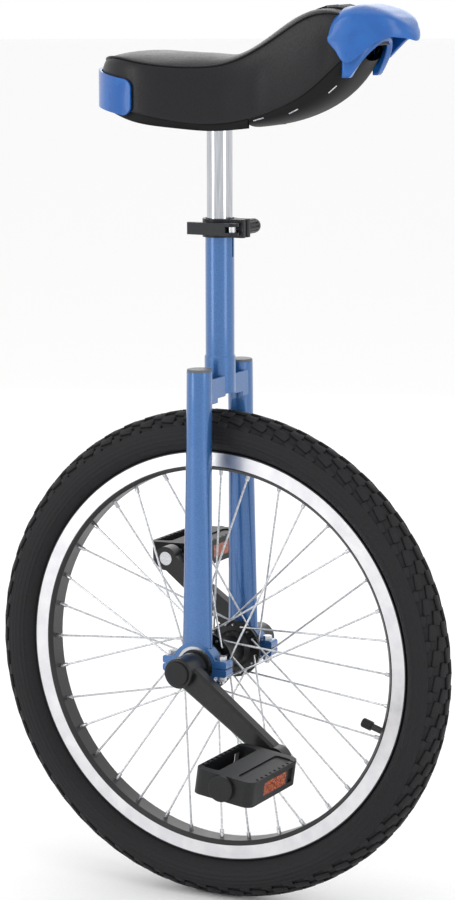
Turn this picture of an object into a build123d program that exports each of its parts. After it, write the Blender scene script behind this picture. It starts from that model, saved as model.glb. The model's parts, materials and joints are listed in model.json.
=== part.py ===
"""A 20 inch unicycle: steel fork frame, spoked wheel, cranks, pedals and a curved saddle.

Millimetres. +X is forward, +Y is the rider's left, +Z is up. The origin is the point where
the tyre meets the ground, straight below the axle.
"""

import os
from math import atan2, cos, degrees, radians, sin

from build123d import *

os.makedirs("parts", exist_ok=True)

RIGHT, LEFT = -1, 1
SIDES = {"right": RIGHT, "left": LEFT}

# ---------------------------------------------------------------- named clearances
press_gap = 0.02  # pieces pushed or clamped together
running_gap = 0.05  # a shaft that turns or slides in its hole
soft_gap = 0.4  # soft pieces and loose shells, each side
bolt_gap = 0.15  # a bolt in its clearance hole

# ---------------------------------------------------------------- driving dimensions
wheel_radius = 250.0
axle_height = wheel_radius

tyre_width = 48.0
tyre_crown_wall = 5.0
tyre_side_wall = 2.8
rim_flange_radius = 209.0
rim_track_height = 15.8
rim_width = 26.0
rim_wall = 2.0
bead_seat_radius = 203.0
rim_bed_drop = 3.2
tube_section_radius = 17.0
tube_wall = 1.2

spoke_count = 36
spoke_cross_turn = 60.0
spoke_radius = 1.0
flange_radius = 29.0
flange_hole_circle = 25.0
flange_spacing = 60.0
flange_thickness = 3.4
hub_barrel_radius = 15.0
nipple_radius = 2.0
nipple_length = 12.0

axle_body_radius = 10.0
journal_radius = 8.5
bearing_spacing = 100.0
bearing_outer_radius = 20.0
bearing_width = 12.0
ball_radius = 2.7
balls_per_bearing = 9
housing_wall = 4.0
housing_width = 14.0
housing_bolt_offset = 27.5
housing_bolt_radius = 2.5
housing_hexagon = 8.0
housing_ear_height = 8.0
housing_split = 0.6

crank_length = 127.0
crank_angle = 36.4
boss_radius = 15.0
boss_inner = 63.0
boss_outer = 92.0
arm_inner = 72.0
arm_outer = 85.0
eye_radius = 12.5
taper_width = 12.0
dust_cap_radius = 12.0

pedal_width = 62.0
pedal_length = 100.0
pedal_height = 25.0
pedal_inner = 95.0
pedal_wall = 4.0
pedal_barrel_radius = 9.0
pedal_tilt = {RIGHT: 8.0, LEFT: -2.0}
spindle_radius = 5.0
spindle_thread_radius = 7.1
pedal_ball_radius = 2.0

leg_radius = 12.7
leg_wall = 1.6
leg_top = 543.0
leg_top_spacing = 87.2
leg_foot_half_width = 16.0
leg_foot_half_depth = 9.0
leg_flare_start = 470.0
leg_cap_height = 2.5

post_radius = 12.7
post_wall = 2.2
post_bottom = 600.0
post_top = 792.0
seat_tube_wall = 1.6
seat_tube_bottom = 517.5
seat_tube_top = 688.0
swage_top = 555.0
swage_growth = 1.1
seat_slot_width = 3.0
seat_slot_bottom = 652.0
crown_plate_thickness = 3.0
crown_plate_reach = 8.6
crown_top = 535.0
crown_arch_rise = 7.0

clamp_height = 18.0
clamp_wall = 2.6
clamp_ear_reach = 30.0
clamp_ear_thickness = 7.0
skewer_radius = 2.5
skewer_reach = 22.2
lever_head_radius = 7.0
lever_length = 46.0
lever_thickness = 6.0
lever_height = 12.0
cup_radius = 7.4
cup_thickness = 1.6
clamp_nut_radius = 7.3
clamp_nut_length = 26.0

cover_thickness = 2.0
base_wall = 3.5
bracket_length = 84.0
bracket_width = 50.0
bracket_thickness = 3.6
bracket_bolt_x = 64.0
bracket_bolt_y = 34.0
bracket_bolt_radius = 3.0
bolt_head_radius = 5.5
socket_height = 9.0
staple_length = 11.0
staple_wire = 1.2
staple_stand = 0.5
bumper_wall = 3.0
handle_wall = 3.6
handle_tip = 209.0
handle_half_width = 44.0

# Saddle side profile: (distance forward of the seatpost axis, height).
saddle_top = [(-112, 849), (-98, 854), (-48, 851), (0, 847), (24, 849), (57, 862.5), (91, 883.5),
              (113, 895.5), (131, 899), (150, 896.5), (168, 888)]
cover_edge = [(168, 858), (137, 836), (108, 812), (76, 797), (46, 787.5), (5, 784), (-52, 794), (-112, 800)]
base_top = [(-112, 812), (-80, 805), (-46, 800), (46, 800), (80, 812), (110, 834), (140, 857), (166, 873)]
base_bottom = [(166, 846), (154, 832), (106, 794), (75, 784), (45, 779.5), (17, 777.5), (-15, 780),
               (-60, 787), (-112, 796)]
# Saddle plan outline, one side: (forward, half width).
saddle_rear = -118.0
saddle_nose = 176.0
saddle_plan = [(-116.6, 16), (-112, 32), (-97, 56), (-75, 71), (-50, 75.5), (-20, 68), (20, 52), (60, 43),
               (100, 40), (138, 38.5), (157, 32.5), (169.5, 19)]

# ---------------------------------------------------------------- derived sizes
axle_line = Axis((0, 0, axle_height), (0, 1, 0))
wheel_section = Plane(origin=(0, 0, axle_height), x_dir=(0, 1, 0), z_dir=(1, 0, 0))
half_rim = rim_width / 2
rim_bed_radius = rim_flange_radius - rim_track_height - rim_bed_drop
bearing_half = bearing_spacing / 2
housing_radius = bearing_outer_radius + housing_wall
inner_race_radius = journal_radius + 3.0
outer_race_bore = inner_race_radius + 2 * (ball_radius + running_gap)
ball_circle = (inner_race_radius + outer_race_bore) / 2
pedal_outer = pedal_inner + pedal_length
seat_tube_bore = post_radius + running_gap
seat_tube_radius = seat_tube_bore + seat_tube_wall
clamp_bore = seat_tube_radius + press_gap
clamp_radius = clamp_bore + clamp_wall
clamp_middle = seat_tube_top - clamp_height / 2 + 1.5
lever_pivot_y = -(clamp_ear_thickness + seat_slot_width / 2 + cup_thickness + lever_head_radius + 0.4)


def save(piece, name):
    """Labels a finished piece and writes its STEP file."""
    piece.part.label = name
    export_step(piece.part, f"parts/{name}.step")


def side_plane(side, distance, x=0.0, z=axle_height):
    """A plane square to the axle that faces outwards on one side; its local Y axis is up."""
    return Plane(origin=(x, side * distance, z), x_dir=(-side, 0, 0), z_dir=(0, side, 0))


def lathe(profile):
    """A solid of revolution about the axle from (distance along the axle, radius) points."""
    with BuildPart() as turned:
        with BuildSketch(wheel_section):
            with BuildLine():
                Polyline(*profile, close=True)
            make_face()
        revolve(axis=axle_line)
    return turned


def hexagon_radius(across_flats):
    return across_flats / 2 / cos(radians(30))


# ================================================================ frame
swage_radius = seat_tube_radius + swage_growth
with BuildPart() as seat_tube:
    with BuildSketch(Plane.XZ):
        with BuildLine():
            Polyline((seat_tube_bore, seat_tube_bottom), (swage_radius, seat_tube_bottom),
                     (swage_radius, swage_top - 2 * swage_growth), (seat_tube_radius, swage_top),
                     (seat_tube_radius, seat_tube_top), (seat_tube_bore, seat_tube_top), close=True)
        make_face()
    revolve(axis=Axis.Z)
    with BuildSketch(Plane.XY.offset(seat_slot_bottom)):
        with Locations((seat_tube_radius, 0)):
            Rectangle(2 * seat_tube_wall + post_radius, seat_slot_width)
    extrude(amount=seat_tube_top - seat_slot_bottom, mode=Mode.SUBTRACT)
save(seat_tube, "seat_tube")

leg_foot = axle_height + housing_radius - 5.0
leg_lean = (bearing_spacing - leg_top_spacing) / 2 / (leg_top - axle_height)


def leg_centre(height):
    """Distance of a fork leg's centre from the wheel plane at one height."""
    return leg_top_spacing / 2 + (leg_top - height) * leg_lean


def leg_solid(side, inset):
    """One fork leg's outer form, round at the top and flattened at the foot, less an inset."""
    with BuildPart() as form:
        for height in (leg_top, leg_flare_start):
            with BuildSketch(Plane((0, side * leg_centre(height), height))):
                Circle(leg_radius - inset)
        loft(ruled=True)
    with BuildPart() as foot:
        with BuildSketch(Plane((0, side * leg_centre(leg_flare_start), leg_flare_start))):
            Circle(leg_radius - inset)
        with BuildSketch(Plane((0, side * leg_centre(leg_foot), leg_foot))):
            Ellipse(leg_foot_half_width - inset, leg_foot_half_depth - inset)
        loft(ruled=True)
    return form.part, foot.part


for name, side in SIDES.items():
    with BuildPart() as fork_leg:
        add(leg_solid(side, 0))
        add(leg_solid(side, leg_wall), mode=Mode.SUBTRACT)
        with BuildSketch(side_plane(side, bearing_half - housing_width)):
            Circle(housing_radius + press_gap)
        extrude(amount=2 * housing_width, mode=Mode.SUBTRACT)
    save(fork_leg, f"fork_leg_{name}")

with BuildPart() as leg_caps:
    for side in SIDES.values():
        with BuildSketch(Plane((0, side * leg_centre(leg_top), leg_top + press_gap))):
            Circle(leg_radius - 0.3)
        extrude(amount=leg_cap_height)
    fillet(leg_caps.edges().group_by(Axis.Z)[-1], radius=leg_cap_height * 0.5)
    for side in SIDES.values():
        with BuildSketch(Plane((0, side * leg_centre(leg_top), leg_top + press_gap))):
            Circle(leg_radius - leg_wall - soft_gap)
        extrude(amount=-10)
save(leg_caps, "leg_caps")

# Four flat plates tie the legs to the seat tube, two in front and two behind it.
crown_arch_radius = 26.0
with BuildPart() as crown_plates:
    for face in (-1, 1):
        first = face * crown_plate_reach
        with BuildSketch(Plane.YZ.offset(first)):
            with Locations((0, (crown_top + seat_tube_bottom - crown_arch_rise) / 2)):
                Rectangle(leg_top_spacing, crown_top - seat_tube_bottom + crown_arch_rise)
            with Locations((0, seat_tube_bottom - crown_arch_radius)):
                Circle(crown_arch_radius * 1.02, mode=Mode.SUBTRACT)
            with Locations((0, seat_tube_bottom - crown_arch_rise)):
                Rectangle(2 * (leg_centre(crown_top) - leg_radius) - 8, 2 * crown_arch_rise - 5,
                          mode=Mode.SUBTRACT)
        extrude(amount=face * crown_plate_thickness)
    with BuildSketch(Plane.XY.offset(seat_tube_bottom - 2 * crown_arch_rise)):
        Circle(swage_radius + press_gap)
    extrude(amount=crown_top - seat_tube_bottom + 3 * crown_arch_rise, mode=Mode.SUBTRACT)
    for side in SIDES.values():
        low = seat_tube_bottom - 2 * crown_arch_rise
        with BuildSketch(Plane((0, side * leg_centre(leg_top), leg_top))):
            Circle(leg_radius + press_gap)
            with Locations((0, side * leg_radius)):
                Rectangle(2 * leg_radius, 2 * leg_radius)
        with BuildSketch(Plane((0, side * leg_centre(low), low))):
            Circle(leg_radius + press_gap)
            with Locations((0, side * leg_radius)):
                Rectangle(2 * leg_radius, 2 * leg_radius)
        loft(ruled=True, mode=Mode.SUBTRACT)
save(crown_plates, "crown_plates")

# ---------------------------------------------------------------- bearing housings
ear_width = 2 * (housing_bolt_offset + 8.0)
bolt_head_height = 4.0
bolt_nut_height = 5.0


def housing_half(side, up):
    """The half of a bearing housing above (up = 1) or below (up = -1) the axle."""
    with BuildPart() as half:
        with BuildSketch(side_plane(side, bearing_half - housing_width / 2)):
            Circle(housing_radius)
            with Locations((0, up * housing_ear_height / 2)):
                RectangleRounded(ear_width, housing_ear_height, 2.5)
            with Locations((0, up * (housing_split / 2 - housing_radius))):
                Rectangle(2 * ear_width, 2 * housing_radius, mode=Mode.SUBTRACT)
            Circle(bearing_outer_radius + press_gap, mode=Mode.SUBTRACT)
        extrude(amount=housing_width)
        with BuildSketch(Plane((0, side * bearing_half, axle_height))):
            with GridLocations(2 * housing_bolt_offset, 1, 2, 1):
                Circle(housing_bolt_radius + bolt_gap)
        extrude(amount=up * 2 * housing_ear_height, mode=Mode.SUBTRACT)
    return half


for name, side in SIDES.items():
    save(housing_half(side, 1), f"bearing_housing_{name}")
    save(housing_half(side, -1), f"bearing_cap_{name}")

bolt_places = [(x, side * bearing_half) for x in (-housing_bolt_offset, housing_bolt_offset)
               for side in SIDES.values()]
with BuildPart() as housing_bolts:
    with BuildSketch(Plane.XY.offset(axle_height + housing_ear_height + press_gap)):
        with Locations(*bolt_places):
            RegularPolygon(hexagon_radius(housing_hexagon), 6, rotation=30)
    extrude(amount=bolt_head_height)
    with BuildSketch(Plane.XY.offset(axle_height + housing_ear_height + press_gap)):
        with Locations(*bolt_places):
            Circle(housing_bolt_radius)
    extrude(amount=-(2 * housing_ear_height + bolt_nut_height + 3))
save(housing_bolts, "housing_bolts")

with BuildPart() as housing_nuts:
    with BuildSketch(Plane.XY.offset(axle_height - housing_ear_height - press_gap)):
        with Locations(*bolt_places):
            RegularPolygon(hexagon_radius(housing_hexagon), 6, rotation=30)
            Circle(housing_bolt_radius + press_gap, mode=Mode.SUBTRACT)
    extrude(amount=-bolt_nut_height)
save(housing_nuts, "housing_nuts")


def ring_pair(inner, outer, near, far):
    """Two equal rings about the axle, one on each side, between two distances along it."""
    with BuildPart() as rings:
        for side in SIDES.values():
            with BuildSketch(side_plane(side, near)):
                Circle(outer)
                Circle(inner, mode=Mode.SUBTRACT)
            extrude(amount=far - near)
    return rings


race_near = bearing_half - bearing_width / 2
race_far = bearing_half + bearing_width / 2
save(ring_pair(outer_race_bore, bearing_outer_radius, race_near, race_far), "bearing_outer_races")
save(ring_pair(inner_race_radius + 0.2, outer_race_bore - press_gap, race_far - 1.4, race_far - 0.8),
     "bearing_shields")

# ================================================================ wheel
save(ring_pair(journal_radius + press_gap, inner_race_radius, race_near, race_far), "bearing_inner_races")

with BuildPart() as bearing_balls:
    for side in SIDES.values():
        for number in range(balls_per_bearing):
            turn = radians(360 / balls_per_bearing * number)
            ball_x, ball_z = ball_circle * cos(turn), axle_height + ball_circle * sin(turn)
            with Locations((ball_x, side * bearing_half, ball_z)):
                Sphere(ball_radius)
save(bearing_balls, "bearing_balls")

hub_end = flange_spacing / 2 + 8.0
flange_in = flange_spacing / 2 - flange_thickness / 2
flange_out = flange_spacing / 2 + flange_thickness / 2
half_hub = [(0, hub_barrel_radius), (flange_in - 6, hub_barrel_radius), (flange_in, hub_barrel_radius + 4),
            (flange_in, flange_radius), (flange_out, flange_radius), (flange_out, hub_barrel_radius + 4),
            (hub_end, hub_barrel_radius)]
hub_outline = half_hub + [(hub_end, axle_body_radius + press_gap), (-hub_end, axle_body_radius + press_gap)]
hub_outline += [(-along, out) for along, out in reversed(half_hub[1:])]
spokes_per_side = spoke_count // 2
spoke_pitch = 360 / spokes_per_side


def hub_hole_angle(side, number):
    """The holes of one flange sit halfway between those of the other."""
    return spoke_pitch * number + (0 if side == RIGHT else spoke_pitch / 2)


with BuildPart() as hub_shell:
    add(lathe(hub_outline).part)
    for side in SIDES.values():
        with BuildSketch(side_plane(side, flange_in)):
            with PolarLocations(flange_hole_circle, spokes_per_side,
                                start_angle=-side * hub_hole_angle(side, 0)):
                Circle(spoke_radius + bolt_gap)
        extrude(amount=flange_thickness, mode=Mode.SUBTRACT)
save(hub_shell, "hub_shell")

taper_start = boss_inner - 0.5
taper_end = boss_outer - 9.0
axle_stud_end = taper_end + 6.5
with BuildPart() as axle:
    with BuildSketch(side_plane(RIGHT, race_near - 0.4)):
        Circle(axle_body_radius)
    extrude(amount=-2 * (race_near - 0.4))
    for side in SIDES.values():
        with BuildSketch(side_plane(side, race_near - 0.4)):
            Circle(journal_radius)
        extrude(amount=taper_start - race_near + 0.4)
        with BuildSketch(side_plane(side, taper_start)):
            Rectangle(taper_width, taper_width, rotation=side * crank_angle)
        extrude(amount=taper_end - taper_start)
        with BuildSketch(side_plane(side, taper_end)):
            Circle(4)
        extrude(amount=axle_stud_end - taper_end)
save(axle, "axle")

save(ring_pair(journal_radius + press_gap, boss_radius - 0.5, race_far + press_gap, boss_inner - press_gap),
     "axle_spacers")

# Tyre: a shell whose beads sit inside the rim flanges.
half_tyre = tyre_width / 2
tyre_centre = wheel_radius - half_tyre
bead_outer = half_rim - rim_wall - 0.5
bead_inner = bead_outer - tyre_side_wall
neck_radius = rim_flange_radius + 0.8


def section_outline(half_width, crown, neck_y, neck_r, foot_r):
    """A closed half-round tyre section with a narrow neck between the rim flanges."""
    shoulder = radians(45)
    rise = crown - tyre_centre
    for half in (1, -1):
        neck = (half * neck_y, neck_r)
        side_point = (half * half_width, tyre_centre)
        high = (half * half_width * cos(shoulder), tyre_centre + rise * sin(shoulder))
        Line((half * neck_y, foot_r), neck)
        TangentArc(side_point, neck, tangent=(0, -1))
        ThreePointArc(side_point, high, (0, crown))
    Line((-neck_y, foot_r), (neck_y, foot_r))


with BuildPart() as tyre:
    with BuildSketch(wheel_section):
        with BuildLine():
            section_outline(half_tyre, wheel_radius, bead_outer, neck_radius, bead_seat_radius + 0.2)
        make_face()
        with BuildLine():
            section_outline(half_tyre - tyre_side_wall, wheel_radius - tyre_crown_wall, bead_inner,
                            neck_radius + 0.8, bead_seat_radius - 1)
        make_face(mode=Mode.SUBTRACT)
    revolve(axis=axle_line)
save(tyre, "tyre")

tube_centre = wheel_radius - tyre_crown_wall - tube_section_radius - soft_gap
with BuildPart() as inner_tube:
    with BuildSketch(wheel_section):
        with Locations((0, tube_centre)):
            Circle(tube_section_radius)
            Circle(tube_section_radius - tube_wall, mode=Mode.SUBTRACT)
    revolve(axis=axle_line)
save(inner_tube, "inner_tube")

# Rim: a hollow aluminium section with machined side tracks.
track_foot = rim_flange_radius - rim_track_height
well_radius = bead_seat_radius - 3.5
half_rim_outline = [(half_rim, rim_flange_radius), (half_rim, track_foot), (half_rim - 3.5, rim_bed_radius)]
half_rim_well = [(half_rim - rim_wall, rim_flange_radius), (half_rim - rim_wall, bead_seat_radius),
                 (half_rim - 6, bead_seat_radius), (half_rim - 8, well_radius)]
rim_outline = half_rim_outline + [(-along, out) for along, out in reversed(half_rim_outline)]
rim_outline += [(-along, out) for along, out in half_rim_well] + list(reversed(half_rim_well))
cavity_half = half_rim - 4.5
rim_cavity = [(cavity_half, well_radius - rim_wall), (cavity_half, rim_bed_radius + rim_wall + 1.2),
              (cavity_half - 1.5, rim_bed_radius + rim_wall)]
rim_cavity += [(-along, out) for along, out in reversed(rim_cavity)]


def wheel_point(turn, radius, across):
    """A point of the wheel at an angle from forward, a radius and a distance across."""
    return Vector(radius * cos(radians(turn)), across, axle_height + radius * sin(radians(turn)))


# The spokes leave the flange at a slant, so their elbows stand clear of its face.
elbow_offset = flange_thickness / 2 + spoke_radius + 1.6
nipple_foot = rim_bed_radius - 7.0


def spoke_ends(side, number):
    """Head, elbow and rim end of one spoke. Neighbours lie on opposite faces of the flange."""
    lead = 1 if number % 2 == 0 else -1
    flange = side * flange_spacing / 2
    turn = hub_hole_angle(side, number)
    head = wheel_point(turn, flange_hole_circle, flange - lead * side * elbow_offset)
    elbow = wheel_point(turn, flange_hole_circle, flange + lead * side * elbow_offset)
    rim_end = wheel_point(turn + lead * spoke_cross_turn, rim_bed_radius, side * 2.0)
    return head, elbow, rim_end


all_spokes = [spoke_ends(side, number) for side in SIDES.values() for number in range(spokes_per_side)]
valve_angle = -18.0
valve_radius = 3.2


def along_spoke(elbow, rim_end, distance):
    """A plane square to a spoke, a distance beyond the rim's inner face."""
    line = (rim_end - elbow).normalized()
    return Plane(origin=rim_end + line * distance, z_dir=line)


with BuildPart() as rim:
    add(lathe(rim_outline).part)
    add(lathe(rim_cavity).part, mode=Mode.SUBTRACT)
    for head, elbow, rim_end in all_spokes:
        with BuildSketch(along_spoke(elbow, rim_end, -2)):
            Circle(nipple_radius + 2 * bolt_gap)
        extrude(amount=rim_wall + 5, mode=Mode.SUBTRACT)
    with BuildSketch(Plane(origin=wheel_point(valve_angle, rim_bed_radius - 3, 0),
                           z_dir=wheel_point(valve_angle, 1, 0) - Vector(0, 0, axle_height))):
        Circle(valve_radius + bolt_gap)
    extrude(amount=20, mode=Mode.SUBTRACT)
save(rim, "rim")

tape_half = half_rim - 8.2
with BuildPart() as rim_tape:
    add(lathe([(-tape_half, well_radius + press_gap), (tape_half, well_radius + press_gap),
               (tape_half, well_radius + 0.8), (-tape_half, well_radius + 0.8)]).part)
    with BuildSketch(Plane(origin=wheel_point(valve_angle, well_radius - 2, 0),
                           z_dir=wheel_point(valve_angle, 1, 0) - Vector(0, 0, axle_height))):
        Circle(valve_radius + bolt_gap)
    extrude(amount=6, mode=Mode.SUBTRACT)
save(rim_tape, "rim_tape")

with BuildPart() as spokes:
    for head, elbow, rim_end in all_spokes:
        with BuildLine() as spoke_line:
            FilletPolyline(head, elbow, rim_end, radius=1.2 * spoke_radius)
        with BuildSketch(Plane(origin=head, z_dir=elbow - head)):
            Circle(spoke_radius)
        sweep(path=spoke_line.line)
save(spokes, "spokes")

with BuildPart() as nipples:
    for head, elbow, rim_end in all_spokes:
        with BuildSketch(along_spoke(elbow, rim_end, nipple_foot - rim_bed_radius)):
            Circle(nipple_radius)
        extrude(amount=nipple_length)
        with BuildSketch(along_spoke(elbow, rim_end, rim_wall + 0.8)):
            Circle(nipple_radius + 0.9)
        extrude(amount=2)
        with BuildSketch(along_spoke(elbow, rim_end, nipple_foot - rim_bed_radius)):
            Circle(spoke_radius + running_gap)
        extrude(amount=abs(nipple_foot - rim_bed_radius) + press_gap, mode=Mode.SUBTRACT)
save(nipples, "nipples")

valve_tip_radius = 165.0
valve_cap_length = 11.0
tube_foot = tube_centre - tube_section_radius
valve_out = wheel_point(valve_angle, 1, 0) - Vector(0, 0, axle_height)
with BuildPart() as valve_stem:
    with BuildSketch(Plane(origin=wheel_point(valve_angle, tube_foot - 0.3, 0), z_dir=-valve_out)):
        Circle(valve_radius)
    extrude(amount=tube_foot - 0.3 - valve_tip_radius - valve_cap_length)
    with BuildSketch(Plane(origin=wheel_point(valve_angle, valve_tip_radius + valve_cap_length, 0),
                           z_dir=-valve_out)):
        Circle(valve_radius - 0.6)
    extrude(amount=valve_cap_length - 3)
save(valve_stem, "valve_stem")

with BuildPart() as valve_cap:
    with BuildSketch(Plane(origin=wheel_point(valve_angle, valve_tip_radius, 0), z_dir=valve_out)):
        Circle(valve_radius + 1.6)
    extrude(amount=valve_cap_length - press_gap)
    cap_rims = valve_cap.edges().filter_by(GeomType.CIRCLE)
    fillet(cap_rims.sort_by_distance(wheel_point(valve_angle, valve_tip_radius - 20, 0))[0], radius=2)
    with BuildSketch(Plane(origin=wheel_point(valve_angle, valve_tip_radius + 2.6, 0), z_dir=valve_out)):
        Circle(valve_radius - 0.6 + running_gap)
    extrude(amount=valve_cap_length, mode=Mode.SUBTRACT)
save(valve_cap, "valve_cap")


# ---------------------------------------------------------------- cranks and pedals
def eye_place(side):
    """The pedal hole's place on a side plane; the two cranks point opposite ways."""
    turn = radians(side * crank_angle)
    return crank_length * cos(turn), crank_length * sin(turn)


def pedal_centre(side):
    """The pedal axis in the object's own X and Z."""
    across, up = eye_place(side)
    return -side * across, axle_height + up


for name, side in SIDES.items():
    eye = eye_place(side)
    with BuildPart() as crank:
        with BuildSketch(side_plane(side, arm_inner)):
            Circle(boss_radius - 2)
            with Locations(eye):
                Circle(eye_radius - 3)
            make_hull()
        extrude(amount=arm_outer - arm_inner)
        chamfer(crank.faces().sort_by(Axis.Y)[-1 if side == LEFT else 0].edges(), length=2.5)
        with BuildSketch(side_plane(side, boss_inner)):
            Circle(boss_radius)
        extrude(amount=boss_outer - boss_inner)
        with BuildSketch(side_plane(side, arm_inner)):
            with Locations(eye):
                Circle(eye_radius)
        extrude(amount=arm_outer - arm_inner + 2)
        outer_rims = crank.edges().filter_by(GeomType.CIRCLE).group_by(Axis.Y)[-1 if side == LEFT else 0]
        fillet(outer_rims, radius=1.5)
        with BuildSketch(side_plane(side, boss_inner)):
            Rectangle(taper_width + 2 * press_gap, taper_width + 2 * press_gap, rotation=side * crank_angle)
        extrude(amount=taper_end - boss_inner, mode=Mode.SUBTRACT)
        with BuildSketch(side_plane(side, taper_end)):
            Circle(dust_cap_radius - 1)
        extrude(amount=boss_outer - taper_end, mode=Mode.SUBTRACT)
        with BuildSketch(side_plane(side, arm_inner)):
            with Locations(eye):
                Circle(spindle_thread_radius + press_gap)
        extrude(amount=arm_outer - arm_inner + 2, mode=Mode.SUBTRACT)
    save(crank, f"crank_{name}")

    pedal_x, pedal_z = pedal_centre(side)
    with BuildPart() as spindle:
        for near, far, radius in ((arm_inner + 0.5, arm_outer + 2.2, spindle_thread_radius),
                                  (arm_outer + 2.2, pedal_inner - 1.6, eye_radius - 3.5),
                                  (pedal_inner - 1.6, pedal_outer - 8, spindle_radius)):
            with BuildSketch(side_plane(side, near, pedal_x, pedal_z)):
                Circle(radius)
            extrude(amount=far - near)
    save(spindle, f"pedal_spindle_{name}")

with BuildPart() as axle_nuts:
    for side in SIDES.values():
        with BuildSketch(side_plane(side, taper_end + press_gap)):
            RegularPolygon(hexagon_radius(14), 6)
            Circle(4 + press_gap, mode=Mode.SUBTRACT)
        extrude(amount=5.5)
save(axle_nuts, "axle_nuts")

with BuildPart() as crank_dust_caps:
    for side in SIDES.values():
        with BuildSketch(side_plane(side, boss_outer + press_gap)):
            Circle(dust_cap_radius)
        extrude(amount=2.4)
    domes = crank_dust_caps.edges().group_by(Axis.Y)
    fillet(domes[0] + domes[-1], radius=1.2)
    for side in SIDES.values():
        with BuildSketch(side_plane(side, boss_outer + press_gap)):
            Circle(dust_cap_radius - 1 - press_gap)
            Circle(dust_cap_radius - 2.2, mode=Mode.SUBTRACT)
        extrude(amount=-2.0)
save(crank_dust_caps, "crank_dust_caps")

half_pedal = pedal_width / 2
bore_radius = spindle_radius + running_gap
cup_bore = spindle_radius + 2 * pedal_ball_radius + 2 * running_gap
cup_depth = 6.0
reflector_length = 46.0
reflector_height = 13.0
reflector_depth = 3.0
end_cap_radius = 12.6
tooth_count = 9
tooth_size = 5.0


def pedal_forward(side):
    """The direction of the pedal's tread, forward and down by its tilt."""
    tilt = radians(pedal_tilt[side])
    return Vector(cos(tilt), 0, -sin(tilt))


def pedal_plane(side, distance):
    """A plane square to the pedal spindle, turned with the pedal's tilt."""
    pedal_x, pedal_z = pedal_centre(side)
    return Plane(origin=(pedal_x, side * distance, pedal_z), x_dir=pedal_forward(side) * -side,
                 z_dir=(0, side, 0))


def pedal_top_plane(side, height):
    """A plane parallel to the pedal's tread, centred on the pedal, its local Y along the spindle."""
    pedal_x, pedal_z = pedal_centre(side)
    forward = pedal_forward(side)
    up = forward.cross(Vector(0, 1, 0))
    middle = Vector(pedal_x, side * (pedal_inner + pedal_length / 2), pedal_z)
    return Plane(origin=middle + up * height, x_dir=forward, z_dir=up)


def pedal_body(side):
    rim_height = 5.5
    window_width = half_pedal - pedal_wall - pedal_barrel_radius - 1.0
    window_x = pedal_barrel_radius + 1.0 + window_width / 2
    window_length = pedal_length - 2 * pedal_wall - 10
    with BuildPart() as body:
        with BuildSketch(pedal_top_plane(side, -pedal_height / 2)):
            RectangleRounded(pedal_width, pedal_length, 9)
        extrude(amount=pedal_height)
        for face in (-1, 1):
            with BuildSketch(pedal_top_plane(side, face * pedal_height / 2)):
                with GridLocations(pedal_width - tooth_size, window_length / tooth_count, 2, tooth_count):
                    Rectangle(tooth_size * 0.7, tooth_size * 0.7)
            extrude(amount=-face * 1.2, mode=Mode.SUBTRACT)
            with BuildSketch(pedal_top_plane(side, face * pedal_height / 2)):
                with Locations((-face * window_x, 0)):
                    RectangleRounded(window_width, window_length, 4)
            extrude(amount=-face * (pedal_height - 3), mode=Mode.SUBTRACT)
            with BuildSketch(pedal_top_plane(side, face * pedal_height / 2)):
                with Locations((face * window_x, 0)):
                    RectangleRounded(window_width, window_length, 4)
            extrude(amount=-face * 1.5, mode=Mode.SUBTRACT)
            with BuildSketch(pedal_top_plane(side, -reflector_height / 2)):
                with Locations((face * half_pedal, 0)):
                    Rectangle(2 * reflector_depth, reflector_length + 2 * press_gap)
            extrude(amount=reflector_height, mode=Mode.SUBTRACT)
            with BuildSketch(pedal_top_plane(side, -pedal_height / 2 + rim_height)):
                with Locations((face * half_pedal, -side * (reflector_length / 2 + 9))):
                    Rectangle(2 * pedal_wall + 4, 9)
            extrude(amount=pedal_height - 2 * rim_height, mode=Mode.SUBTRACT)
        with BuildSketch(pedal_plane(side, pedal_inner)):
            Circle(bore_radius + 1)
        extrude(amount=pedal_length, mode=Mode.SUBTRACT)
        for start in (pedal_inner, pedal_outer - cup_depth - 8):
            with BuildSketch(pedal_plane(side, start)):
                Circle(cup_bore)
            extrude(amount=cup_depth, mode=Mode.SUBTRACT)
        with BuildSketch(pedal_plane(side, pedal_outer - 8)):
            Circle(end_cap_radius - 4)
        extrude(amount=8, mode=Mode.SUBTRACT)
    return body


for name, side in SIDES.items():
    save(pedal_body(side), f"pedal_body_{name}")

    with BuildPart() as pedal_cap:
        with BuildSketch(pedal_plane(side, pedal_outer + press_gap)):
            Circle(end_cap_radius)
        extrude(amount=4.5)
        cap_rims = pedal_cap.edges().filter_by(GeomType.CIRCLE).group_by(Axis.Y)
        fillet(cap_rims[-1 if side == LEFT else 0], radius=1.2)
        with BuildSketch(pedal_plane(side, pedal_outer + press_gap)):
            Circle(end_cap_radius - 4 - press_gap)
        extrude(amount=-3)
    save(pedal_cap, f"pedal_end_cap_{name}")

    with BuildPart() as reflectors:
        for face in (-1, 1):
            with BuildSketch(pedal_top_plane(side, -reflector_height / 2 + press_gap)):
                with Locations((face * (half_pedal - reflector_depth / 2 + press_gap), 0)):
                    Rectangle(reflector_depth, reflector_length)
            extrude(amount=reflector_height - 2 * press_gap)
    save(reflectors, f"pedal_reflectors_{name}")

    with BuildPart() as pedal_balls:
        pedal_x, pedal_z = pedal_centre(side)
        circle_radius = spindle_radius + pedal_ball_radius + running_gap
        for start in (pedal_inner, pedal_outer - cup_depth - 8):
            for number in range(8):
                turn = radians(45 * number)
                with Locations((pedal_x + circle_radius * cos(turn), side * (start + cup_depth / 2),
                                pedal_z + circle_radius * sin(turn))):
                    Sphere(pedal_ball_radius)
    save(pedal_balls, f"pedal_balls_{name}")

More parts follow.
